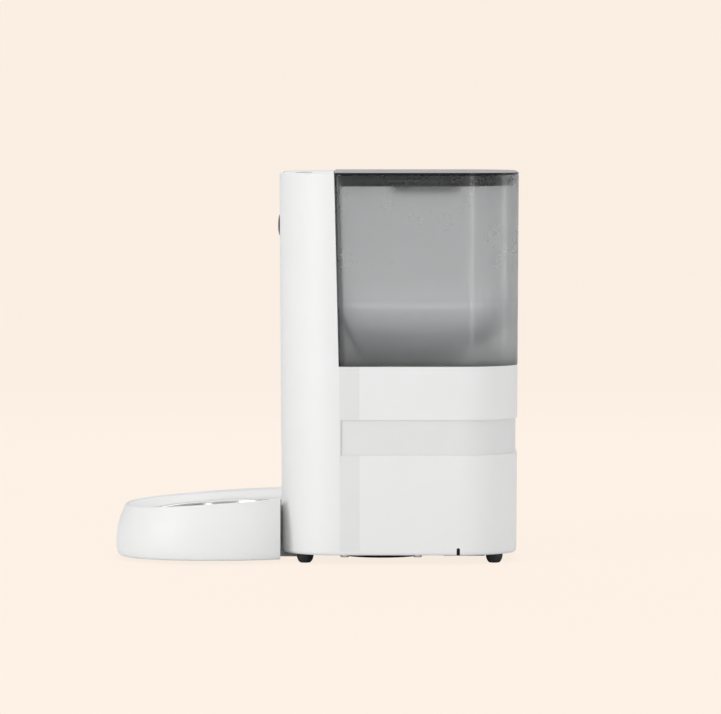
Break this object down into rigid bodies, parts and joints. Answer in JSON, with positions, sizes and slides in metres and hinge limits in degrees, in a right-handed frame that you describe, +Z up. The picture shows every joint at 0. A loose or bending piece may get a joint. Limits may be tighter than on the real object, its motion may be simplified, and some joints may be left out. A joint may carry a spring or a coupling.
{
  "type": "automatic pet feeder",
  "caption": "Countertop dry-food feeder: white tower and base, smoky lift-out hopper with dark lid, geared paddle wheel and chute over a steel bowl in a round tray.",
  "frame": {"origin": "on the floor under the centre of the feeder's bounding box", "axes": "+Z up, -X towards the bowl (the front), +Y to the side without the cable slot"},
  "size_m": [0.313, 0.168, 0.301],
  "materials": {
    "white_plastic": "satin white ABS with a fine moulded grain",
    "inner_white_plastic": "plain white ABS",
    "smoky_plastic": "clear plastic tinted smoky grey",
    "gloss_dark_plastic": "polished near-black plastic",
    "dark_plastic": "matt black plastic",
    "black_rubber": "black moulded rubber",
    "silicone": "soft grey silicone",
    "bowl_steel": "spun and polished stainless steel",
    "shaft_steel": "turned steel",
    "circuit_board": "green circuit board",
    "light_lens": "milky light lens",
    "gear_acetal": "natural acetal",
    "desiccant_fabric": "white fibre sachet",
    "cell_wrap": "plain dark cell wrap"
  },
  "bodies": {
    "feeder_body": {"outer_housing": "white_plastic", "tower_cap": "white_plastic", "outlet_liner": "white_plastic", "inner_chassis": "inner_white_plastic", "dispenser_cup": "inner_white_plastic", "cup_cover": "inner_white_plastic", "chute": "inner_white_plastic", "gearbox_case": "inner_white_plastic", "gearbox_cover": "inner_white_plastic", "base_plate": "dark_plastic", "drive_cover": "dark_plastic", "battery_box": "dark_plastic", "power_socket": "dark_plastic", "foot_1": "black_rubber", "foot_2": "black_rubber", "foot_3": "black_rubber", "foot_4": "black_rubber", "gear_motor": "shaft_steel", "base_screw_1": "shaft_steel", "base_screw_2": "shaft_steel", "base_screw_3": "shaft_steel", "base_screw_4": "shaft_steel", "main_board": "circuit_board", "button_board": "circuit_board", "battery_cell_1": "cell_wrap", "battery_cell_2": "cell_wrap", "battery_cell_3": "cell_wrap", "battery_cell_4": "cell_wrap"},
    "battery_door": {"battery_door": "dark_plastic"},
    "feed_button": {"feed_button": "gloss_dark_plastic", "status_light": "light_lens"},
    "top_button": {"top_button": "gloss_dark_plastic"},
    "impeller": {"impeller": "silicone", "drive_shaft": "shaft_steel", "stirrer": "silicone", "drive_gear": "gear_acetal"},
    "idler": {"idler_gear": "gear_acetal"},
    "motor_pinion": {"motor_pinion": "gear_acetal"},
    "hopper": {"food_hopper": "smoky_plastic"},
    "lid": {"lid_panel": "gloss_dark_plastic", "lid_seal": "silicone", "desiccant_box": "smoky_plastic", "desiccant_pack": "desiccant_fabric"},
    "desiccant_cover": {"desiccant_cover": "smoky_plastic"},
    "tray": {"tray_shell": "white_plastic", "tray_base": "white_plastic", "tray_pad_1": "black_rubber", "tray_pad_2": "black_rubber", "tray_pad_3": "black_rubber"},
    "bowl": {"steel_bowl": "bowl_steel"}
  },
  "joints": [
    {"name": "hopper_lift", "type": "slide", "parent": "feeder_body", "child": "hopper", "axis": [0, 0, 1], "range_m": [0, 0.05]},
    {"name": "lid_lift", "type": "slide", "parent": "hopper", "child": "lid", "axis": [0, 0, 1], "range_m": [0, 0.04]},
    {"name": "desiccant_cover_turn", "type": "hinge", "parent": "lid", "child": "desiccant_cover", "pos_m": [0.0852, 0, 0.285], "axis": [0, 0, 1], "range_deg": [0, 30]},
    {"name": "tray_pull", "type": "slide", "parent": "feeder_body", "child": "tray", "axis": [-1, 0, 0], "range_m": [0, 0.06]},
    {"name": "bowl_lift", "type": "slide", "parent": "tray", "child": "bowl", "axis": [0, 0, 1], "range_m": [0, 0.05]},
    {"name": "battery_door_slide", "type": "slide", "parent": "feeder_body", "child": "battery_door", "axis": [1, 0, 0], "range_m": [0, 0.032]},
    {"name": "feed_button_press", "type": "slide", "parent": "feeder_body", "child": "feed_button", "axis": [1, 0, 0], "range_m": [0, 0.0007], "stiffness_N_per_m": 900},
    {"name": "top_button_press", "type": "slide", "parent": "feeder_body", "child": "top_button", "axis": [0, 0, -1], "range_m": [0, 0.0006], "stiffness_N_per_m": 900},
    {"name": "impeller_spin", "type": "hinge", "parent": "feeder_body", "child": "impeller", "pos_m": [0.0505, 0, 0.06], "axis": [0, 0, 1], "continuous": true},
    {"name": "idler_spin", "type": "hinge", "parent": "feeder_body", "child": "idler", "pos_m": [0.0913, 0, 0.06], "axis": [0, 0, 1], "continuous": true},
    {"name": "pinion_spin", "type": "hinge", "parent": "feeder_body", "child": "motor_pinion", "pos_m": [0.1186, 0, 0.06], "axis": [0, 0, 1], "continuous": true}
  ],
  "couplings": [
    {"joint": "idler_spin", "follows": "impeller_spin", "ratio": -1.25},
    {"joint": "pinion_spin", "follows": "impeller_spin", "ratio": 2.5}
  ]
}
